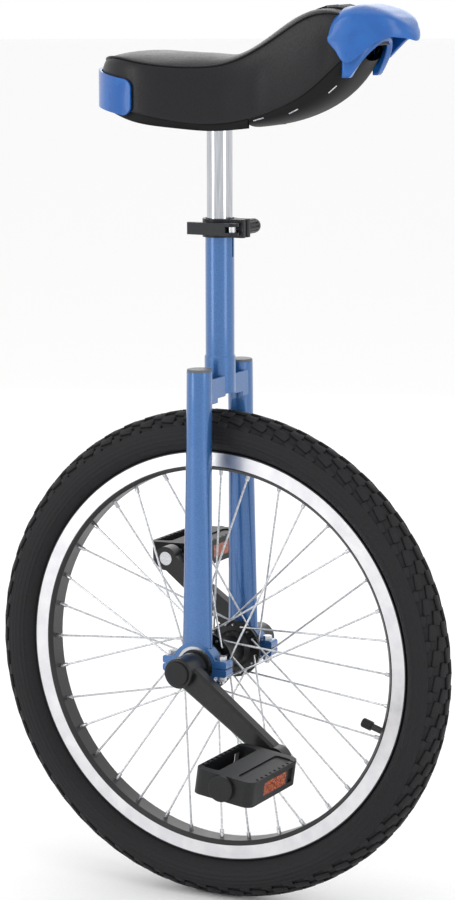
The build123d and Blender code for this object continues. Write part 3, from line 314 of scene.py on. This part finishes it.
# ---- Pedals, dust caps and valve cap
# Glass filled nylon mouldings with an eroded mould grain. The reflectors are amber acrylic with
# moulded prisms behind a smooth face.
nylon, tree, shader, place = new_finish("glass_filled_nylon", Specular_IOR_Level=0.3)
grain = add(tree, "ShaderNodeTexNoise", {"Scale": 1100, "Detail": 4}, {"Vector": place})
two_tones(tree, shader, grain.outputs["Fac"], "#0E0F10", "#1A1B1D")
relief(tree, shader, grain.outputs["Fac"], 0.08)
spread(tree, shader, grain.outputs["Fac"], 0.38, 0.56)
dress(nylon, "pedal_body_right", "pedal_body_left", "pedal_end_cap_right", "pedal_end_cap_left",
      "crank_dust_caps", "valve_cap")
dress(ground_steel, "pedal_spindle_right", "pedal_spindle_left", "pedal_balls_right", "pedal_balls_left")
amber, tree, shader, place = new_finish("prismatic_amber_acrylic", IOR=1.49)
prisms = add(tree, "ShaderNodeTexVoronoi", {"Scale": 420}, {"Vector": place}, distance="CHEBYCHEV")
two_tones(tree, shader, prisms.outputs["Distance"], "#A8480F", "#6E2A08", 0.1, 0.7)
relief(tree, shader, prisms.outputs["Distance"], 0.5)
spread(tree, shader, prisms.outputs["Distance"], 0.12, 0.2)
dress(amber, "pedal_reflectors_right", "pedal_reflectors_left")

# ---- Seat clamp
# Cast aluminium collar, cam lever and ribbed nut, all anodised black, on a bright steel skewer.
anodised, tree, shader, place = new_finish("black_anodised_aluminium", Metallic=0.6)
sand = add(tree, "ShaderNodeTexNoise", {"Scale": 1300, "Detail": 3}, {"Vector": place})
two_tones(tree, shader, sand.outputs["Fac"], "#1A1B1D", "#2C2D30")
relief(tree, shader, sand.outputs["Fac"], 0.05)
spread(tree, shader, sand.outputs["Fac"], 0.32, 0.48)
dress(anodised, "clamp_collar", "clamp_cup", "clamp_lever", "clamp_nut", "clamp_pin")
dress(zinc, "clamp_skewer")

# ---- Seatpost
# Steel tube, polished and chrome plated, with a few hair scratches from being moved up and down.
chrome, tree, shader, place = new_finish("polished_chrome_plate", Metallic=1.0)
rubs = add(tree, "ShaderNodeMapping", {"Scale": (900, 900, 30)}, {"Vector": place})
scratch = add(tree, "ShaderNodeTexNoise", {"Scale": 1.0, "Detail": 3}, {"Vector": rubs.outputs["Vector"]})
two_tones(tree, shader, scratch.outputs["Fac"], "#B4B7BC", "#CDD0D4")
spread(tree, shader, scratch.outputs["Fac"], 0.05, 0.14)
dress(chrome, "seatpost")

# ---- Saddle foam and cover
# Polyurethane foam under vinyl with a fine leather grain. The top panel is smooth and shiny, the
# sides are duller, and a seam joins them.
foam, tree, shader, place = new_finish("polyurethane_foam")
cells = add(tree, "ShaderNodeTexVoronoi", {"Scale": 900}, {"Vector": place})
two_tones(tree, shader, cells.outputs["Distance"], "#5A5A58", "#77777A")
vinyl, tree, shader, place = new_finish("grained_black_vinyl", Specular_IOR_Level=0.28,
                                        Coat_Weight=0.06, Coat_Roughness=0.2)
hide = add(tree, "ShaderNodeTexVoronoi", {"Scale": 600}, {"Vector": place}, feature="SMOOTH_F1")
two_tones(tree, shader, hide.outputs["Distance"], "#131317", "#0B0B0E", 0.1, 0.8)
relief(tree, shader, hide.outputs["Distance"], 0.12)
spread(tree, shader, hide.outputs["Distance"], 0.34, 0.5)
depsgraph = bpy.context.evaluated_depsgraph_get()
skin = BVHTree.FromObject(nodes["saddle_cover"], depsgraph)
pan = BVHTree.FromObject(nodes["saddle_base"], depsgraph)
rear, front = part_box("saddle_cover")[0].x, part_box("saddle_cover")[1].x
saddle_middle, half_length = (rear + front) / 2, (front - rear) / 2 - 0.0006
seam_at, seam_inset, seam_drop = 0.5, 0.0042, 0.0085
down, up = Vector((0, 0, -1)), Vector((0, 0, 1))


def top_at(x):
    return skin.ray_cast(Vector((x, 0, 1.2)), down)[0].z


def edge_at(x, side_sign):
    """The cover's outside at one place along one side, and the height of its hem there."""
    level = top_at(x) - 0.012
    hit = skin.ray_cast(Vector((x, 0.2 * side_sign, level)), Vector((0, -side_sign, 0)))[0]
    reach_out = abs(hit.y) if hit else 0.001
    hem = skin.ray_cast(Vector((x, side_sign * max(reach_out - 0.001, 0), 0.6)), up)[0]
    return reach_out, hem.z if hem else level - 0.03


dome = bmesh.new()
bmesh.ops.create_uvsphere(dome, u_segments=112, v_segments=48, radius=1)
bmesh.ops.delete(dome, geom=[v for v in dome.verts if v.co.z < -0.001], context="VERTS")
dome.verts.index_update()
held, seam_ring = [], []
for vert in dome.verts:
    ring = math.acos(max(min(vert.co.z, 1), -1)) / (math.pi / 2)
    turn = math.atan2(vert.co.y, vert.co.x)
    side_sign = 1 if vert.co.y >= 0 else -1
    outline_x = saddle_middle + half_length * math.cos(turn)
    reach_out, hem = edge_at(outline_x, side_sign)
    outline = Vector((outline_x, side_sign * reach_out, 0))
    inward = Vector((saddle_middle * 0.4 + outline_x * 0.6 - outline_x, -outline.y, 0)).normalized()
    if ring <= seam_at:
        share = ring / seam_at
        spot = outline + inward * seam_inset
        x = saddle_middle + (spot.x - saddle_middle) * share
        vert.co = (x, spot.y * share, top_at(x) - seam_drop * share ** 3)
    else:
        share = (ring - seam_at) / (1 - seam_at)
        inset = seam_inset * (1 - share / 0.3) ** 2 if share < 0.3 else 0
        spot = outline + inward * (inset + 0.0002)
        seam_x = outline.x + inward.x * seam_inset
        seam_z = top_at(seam_x) - seam_drop
        vert.co = (spot.x, spot.y, seam_z + (hem - seam_z) * share)
    if abs(ring - seam_at) < 0.012:
        seam_ring.append(vert.index)
    held.append(1.0 if abs(ring - seam_at) < 0.012 or ring > 0.96 else 0.0)
bmesh.ops.recalc_face_normals(dome, faces=dome.faces)
cover = finish_piece(dome, "vinyl_cover", vinyl, "saddle")
rest = [v.co.copy() for v in cover.data.vertices]
pinned = cover.vertex_groups.new(name="held")
for number, weight in enumerate(held):
    pinned.add([number], weight, "REPLACE")
puff_limit, held_limit = 0.0035, 0.0001
puff_rear, puff_front, puff_fade = -0.05, 0.132, 0.01
cloth = cover.modifiers.new("stuffing", "CLOTH")
cloth.settings.quality = 6
cloth.settings.use_pressure = True
cloth.settings.uniform_pressure_force = 4
cloth.settings.vertex_group_mass = "held"
cloth.settings.effector_weights.gravity = 0
scene = bpy.context.scene
for step in range(1, 21):
    scene.frame_set(step)
swollen = cover.evaluated_get(bpy.context.evaluated_depsgraph_get()).to_mesh()
moved = [v.co.copy() for v in swollen.vertices]
cover.modifiers.remove(cloth)
for number, (before, after) in enumerate(zip(rest, moved)):
    free_rear = min(max((before.x - puff_rear) / puff_fade, 0), 1)
    free_front = min(max((puff_front - before.x) / puff_fade, 0), 1)
    limit = held_limit + puff_limit * (free_rear * free_front)
    step = after - before
    if step.length > limit:
        step *= limit / step.length
    cover.data.vertices[number].co = before + step
scene.frame_set(1)
wall = cover.modifiers.new("thickness", "SOLIDIFY")
wall.thickness, wall.offset = 0.0016, -1
rounding = cover.modifiers.new("rounding", "SUBSURF")
rounding.levels = rounding.render_levels = 1
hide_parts("saddle_cover")

filling = bmesh.new()
filling.from_mesh(cover.data)
bmesh.ops.recalc_face_normals(filling, faces=filling.faces)
skin_depth, bed_gap = 0.0026, 0.0005
for vert in filling.verts:
    vert.co -= vert.normal * skin_depth
for vert in filling.verts:
    bed = pan.ray_cast(Vector((vert.co.x, vert.co.y, 1.2)), down)[0]
    if bed and vert.co.z < bed.z + bed_gap:
        vert.co.z = bed.z + bed_gap
bmesh.ops.holes_fill(filling, edges=[e for e in filling.edges if e.is_boundary])
bmesh.ops.triangulate(filling, faces=[f for f in filling.faces if len(f.verts) > 4])
block = finish_piece(filling, "moulded_foam", foam, "saddle")
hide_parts("saddle_foam")

# ---- Saddle pan
# Moulded black polypropylene. Its rear half is an open tray round the bracket, and under the nose
# it closes to a keel like a boat's, onto which the vinyl's edge is stapled.
pan_plastic, tree, shader, place = new_finish("moulded_polypropylene_pan", Specular_IOR_Level=0.2)
grain = add(tree, "ShaderNodeTexNoise", {"Scale": 900, "Detail": 3}, {"Vector": place})
two_tones(tree, shader, grain.outputs["Fac"], "#070708", "#101012")
spread(tree, shader, grain.outputs["Fac"], 0.5, 0.65)
keel_start, keel_end = 0.052, front - 0.012
keel_overlap = 0.002
vinyl_gap, hem_overlap = 0.0021, 0.003
pan_shape = bmesh.new()
pan_shape.from_mesh(nodes["saddle_base"].data)
bmesh.ops.remove_doubles(pan_shape, verts=pan_shape.verts, dist=0.00001)
bmesh.ops.bisect_plane(pan_shape, geom=pan_shape.verts[:] + pan_shape.edges[:] + pan_shape.faces[:],
                       plane_co=(keel_start, 0, 0), plane_no=(1, 0, 0), clear_outer=True)
keel = bmesh.ops.create_grid(pan_shape, x_segments=44, y_segments=36, size=1)["verts"]
for vert in keel:
    x = keel_start - keel_overlap + (keel_end - keel_start + keel_overlap) * (vert.co.x + 1) / 2
    reach_out, hem = edge_at(x, 1)
    wide = reach_out - vinyl_gap
    floor_hit = pan.ray_cast(Vector((x, wide - 0.003, 0.6)), up)[0]
    lowest = floor_hit.z if floor_hit else hem - 0.012
    around = vert.co.y * math.pi / 2
    height = hem + hem_overlap - (hem + hem_overlap - lowest) * math.cos(around) ** 0.85
    vert.co = (x, math.copysign(wide * abs(math.sin(around)) ** 0.75, around), height)
pan_piece = finish_piece(pan_shape, "saddle_pan", pan_plastic, "saddle")
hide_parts("saddle_base")

# ---- Staples
# Bright flat wire staples, 11 mm long, three on each side, driven through the vinyl into the pan.
pan_surface = BVHTree.FromObject(pan_piece, bpy.context.evaluated_depsgraph_get())
staples = bmesh.new()
staple_length, staple_width, staple_height, staple_rise = 0.011, 0.0013, 0.0009, 0.0003
# Place along the saddle, height, and how steeply the staple climbs in degrees.
for x, z, climb in [(0.062, 0.7895, 12), (0.0965, 0.7975, 30), (0.1355, 0.819, 36)]:
    for side_sign in (-1, 1):
        found, normal = pan_surface.ray_cast(Vector((x, 0.2 * side_sign, z)), Vector((0, -side_sign, 0)))[:2]
        along = Vector((math.cos(math.radians(climb)), 0, math.sin(math.radians(climb))))
        along = (along - normal * along.dot(normal)).normalized()
        if normal.y * side_sign < 0:
            normal = -normal
        turned = Matrix((along, normal.cross(along), normal)).transposed().to_4x4()
        driven = (Matrix.Translation(found + normal * staple_rise) @ turned
                  @ Matrix.Diagonal((staple_length, staple_width, staple_height, 1)))
        wire_shape = bmesh.ops.create_cube(staples, size=1, matrix=driven)["verts"]
        bmesh.ops.bevel(staples, geom=list({e for v in wire_shape for e in v.link_edges}), offset=0.0002,
                        segments=1, profile=0.5, affect="EDGES", material=-1)
staple_piece = finish_piece(staples, "staples", zinc, "saddle", smooth=False)
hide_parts("cover_staples")

# ---- Seam welt
# A folded vinyl strip, sewn between the shiny top panel and the duller sides. It stands up from
# the cover as a fine rounded cord.
half_breadth = 0.07
seam_verts = sorted(seam_ring, key=lambda n: math.atan2(rest[n].y / half_breadth,
                                                        (rest[n].x - saddle_middle) / half_length))
line = bpy.data.curves.new("seam_welt", "CURVE")
line.dimensions = "3D"
spline = line.splines.new("NURBS")
spline.points.add(len(seam_verts) - 1)
for point, n in zip(spline.points, seam_verts):
    point.co = (*cover.data.vertices[n].co, 1)
spline.use_cyclic_u = True
line.bevel_depth, line.bevel_resolution = 0.0009, 2
welt_object = bpy.data.objects.new("seam_welt_line", line)
bpy.context.scene.collection.objects.link(welt_object)
welt_mesh = bmesh.new()
welt_mesh.from_mesh(bpy.data.meshes.new_from_object(welt_object))
bpy.data.objects.remove(welt_object)
finish_piece(welt_mesh, "seam_welt", vinyl, "saddle")

# ---- Rear bumper
# Injection moulded polypropylene, coloured blue in the mass, with a glossy tool polish.
plastic, tree, shader, place = new_finish("glossy_blue_polypropylene", Specular_IOR_Level=0.4,
                                          Coat_Weight=0.15, Coat_Roughness=0.1)
flow = add(tree, "ShaderNodeTexNoise", {"Scale": 45, "Detail": 2}, {"Vector": place})
two_tones(tree, shader, flow.outputs["Fac"], "#15549C", "#1C5EA8")
relief(tree, shader, flow.outputs["Fac"], 0.15)
spread(tree, shader, flow.outputs["Fac"], 0.22, 0.34)


def softened(name, edge_radius, material):
    """A moulded piece from its frame shape, with its sharp edges rounded as a mould leaves them."""
    shape = bmesh.new()
    shape.from_mesh(nodes[name].data)
    bmesh.ops.remove_doubles(shape, verts=shape.verts, dist=0.00001)
    bmesh.ops.dissolve_limit(shape, angle_limit=math.radians(1), verts=shape.verts, edges=shape.edges)
    piece = finish_piece(shape, name + "_moulding", material, nodes[name]["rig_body"])
    bevel = piece.modifiers.new("mould_radius", "BEVEL")
    bevel.width, bevel.segments, bevel.limit_method = edge_radius, 3, "ANGLE"
    bevel.angle_limit, bevel.harden_normals = math.radians(32), True
    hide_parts(name)
    return piece


softened("rear_bumper", 0.001, plastic)

# ---- Front handle
# One moulding: a hood over the saddle's nose, with wings down both sides, and inside it a cup round
# the nose. The hand goes into the gap between the hood's lip and the cup.
handle_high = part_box("saddle_handle")[1]
lip_x, hood_half = handle_high.x, handle_high.y - 0.0004
hood_heart = 0.150
# The hood's crest: place along the saddle, and height.
crest_line = [(0.134, 0.871), (0.137, 0.882), (0.143, 0.8915), (0.150, 0.8965), (0.158, 0.8985),
              (0.166, 0.8985), (0.176, 0.8965), (0.186, 0.893), (0.196, 0.8875), (0.203, 0.8815),
              (0.209, 0.874)]
# Lower edge: metres round the hood's outline from its front, and height.
lower_line = [(0.0, 0.8635), (0.020, 0.8665), (0.034, 0.8675), (0.048, 0.8625), (0.060, 0.8535),
              (0.072, 0.8425), (0.077, 0.8395), (0.082, 0.8425), (0.090, 0.8555), (0.098, 0.8640)]


def read_line(line, at):
    """The height on a drawn line, between its points."""
    for (x0, z0), (x1, z1) in zip(line, line[1:]):
        if at <= x1:
            share = max(at - x0, 0) / (x1 - x0)
            return z0 + (z1 - z0) * share * share * (3 - 2 * share)
    return line[-1][1]


def outline_at(turn, forward, sideways):
    """A point of a half oval round the nose, which runs straight back past its sides."""
    quarter = math.pi / 2
    if abs(turn) <= quarter:
        return Vector((hood_heart + forward * math.cos(turn), sideways * math.sin(turn), 0))
    return Vector((hood_heart - (abs(turn) - quarter) * 0.0265, math.copysign(sideways, turn), 0))


hood = bmesh.new()
hood_columns, crown_share = 72, 0.55
bmesh.ops.create_grid(hood, x_segments=hood_columns, y_segments=28, size=1)
wing_turn = math.pi / 2 + 0.52
lengths = [0.0]
for step in range(1, hood_columns + 1):
    before, after = (outline_at(wing_turn * n / hood_columns, lip_x - hood_heart, hood_half)
                     for n in (step - 1, step))
    lengths.append(lengths[-1] + (after - before).length)
for vert in hood.verts:
    turn, fall = vert.co.x * wing_turn, (1 - vert.co.y) / 2
    edge = outline_at(turn, lip_x - hood_heart, hood_half)
    column = min(round(abs(vert.co.x) * hood_columns), hood_columns)
    round_it = lengths[column] * lower_line[-1][0] / lengths[-1]
    heart = Vector((min(max(edge.x - 0.030, 0.152), 0.176), 0, 0))
    share = min(fall / crown_share, 1)
    spot = heart.lerp(edge, share ** 0.8)
    lift = read_line(crest_line, spot.x + (0.151 - spot.x) * (1 - share) * (spot.x < 0.151))
    height = lift - 0.0105 * (abs(spot.y) / hood_half) ** 4
    if fall > crown_share:
        down_share = (fall - crown_share) / (1 - crown_share)
        low_edge = min(read_line(lower_line, round_it), height - 0.006)
        belly = 0.0016 * math.sin(math.pi * down_share) - 0.0018 * (1 - down_share)
        spot = spot + (edge - Vector((hood_heart, 0, 0))).normalized() * belly
        height = height + (low_edge - height) * down_share
    vert.co = (spot.x, spot.y, height)
bmesh.ops.remove_doubles(hood, verts=hood.verts, dist=0.0002)
for _ in range(5):
    bmesh.ops.smooth_vert(hood, verts=hood.verts, factor=0.5, use_axis_x=True, use_axis_y=True,
                          use_axis_z=True)
bmesh.ops.recalc_face_normals(hood, faces=hood.faces)
cup_forward, cup_sideways, cup_turn = 0.0296, 0.0374, math.radians(92)
cup_top, cup_low, cup_high = 0.889, 0.8300, 0.8635
cup_slope, cup_inset, recess_height = 1.45, 0.2, 0.012
cup = bmesh.ops.create_grid(hood, x_segments=48, y_segments=16, size=1)["verts"]
for vert in cup:
    turn, fall = vert.co.x * cup_turn, (1 - vert.co.y) / 2
    edge = outline_at(turn, cup_forward, cup_sideways)
    ring = min(cup_low + max(edge.x - 0.156, 0) * cup_slope, cup_high)
    inner = edge.lerp(Vector((0.154, 0, 0)), cup_inset)
    if fall <= 0.5:
        vert.co = (edge.x, edge.y, cup_top + (ring - cup_top) * fall / 0.5)
    elif fall <= 0.75:
        vert.co = (*edge.lerp(inner, (fall - 0.5) / 0.25).xy, ring)
    else:
        vert.co = (inner.x, inner.y, ring + recess_height * (fall - 0.75) / 0.25)
handle = finish_piece(hood, "front_handle", plastic, "saddle")
shell = handle.modifiers.new("wall", "SOLIDIFY")
shell.thickness, shell.offset, shell.use_even_offset = 0.003, -1, True
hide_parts("saddle_handle")

# ---- Studio
# A pale floor, an even pale surround and four large soft lamps.
floor_mesh = bmesh.new()
bmesh.ops.create_circle(floor_mesh, cap_ends=True, radius=30, segments=96)
floor_data = bpy.data.meshes.new("studio_floor")
floor_mesh.to_mesh(floor_data)
floor_mesh.free()
floor = bpy.data.objects.new("studio_floor", floor_data)
bpy.context.scene.collection.objects.link(floor)
paper, tree, shader, place = new_finish("matt_floor_paper", Roughness=0.9)
fibre = add(tree, "ShaderNodeTexNoise", {"Scale": 300, "Detail": 3}, {"Vector": place})
two_tones(tree, shader, fibre.outputs["Fac"], "#F8F8F8", "#FBFBFB")
floor_data.materials.append(paper)

world = bpy.data.worlds.new("pale_surround")
world.use_nodes = True
world.node_tree.nodes["Background"].inputs["Color"].default_value = tone("#FFFFFF")
world.node_tree.nodes["Background"].inputs["Strength"].default_value = 1.0
bpy.context.scene.world = world
for name, place, wide, tall, power in [("left_box", (-1.7, -2.5, 1.3), 1.1, 2.4, 22),
                                       ("right_box", (2.9, -0.9, 1.3), 1.1, 2.4, 18),
                                       ("top_box", (0.2, -0.3, 3.0), 2.2, 2.2, 8),
                                       ("back_box", (-0.9, 2.7, 1.6), 1.8, 1.8, 10)]:
    lamp = bpy.data.lights.new(name, "AREA")
    lamp.shape, lamp.size, lamp.size_y, lamp.energy = "RECTANGLE", wide, tall, power
    lamp_object = bpy.data.objects.new(name, lamp)
    lamp_object.location = place
    lamp_object.rotation_euler = (Vector((0, 0, 0.5)) - Vector(place)).to_track_quat("-Z", "Y").to_euler()
    bpy.context.scene.collection.objects.link(lamp_object)
bpy.context.scene.view_settings.view_transform = "Standard"

lens = bpy.data.cameras.new("camera")
lens.lens, lens.sensor_width, lens.sensor_fit = 117.2, 36, "AUTO"
camera = bpy.data.objects.new("camera", lens)
stand, aim = Vector((1.3264, -2.5477, 0.9464)), Vector((0.00805, 0, 0.45919))
aimed = (aim - stand).to_track_quat("-Z", "Y").to_matrix().to_4x4()
camera.matrix_world = Matrix.Translation(stand) @ aimed @ Matrix.Rotation(math.radians(-0.11), 4, "Z")
bpy.context.scene.collection.objects.link(camera)
bpy.context.scene.camera = camera
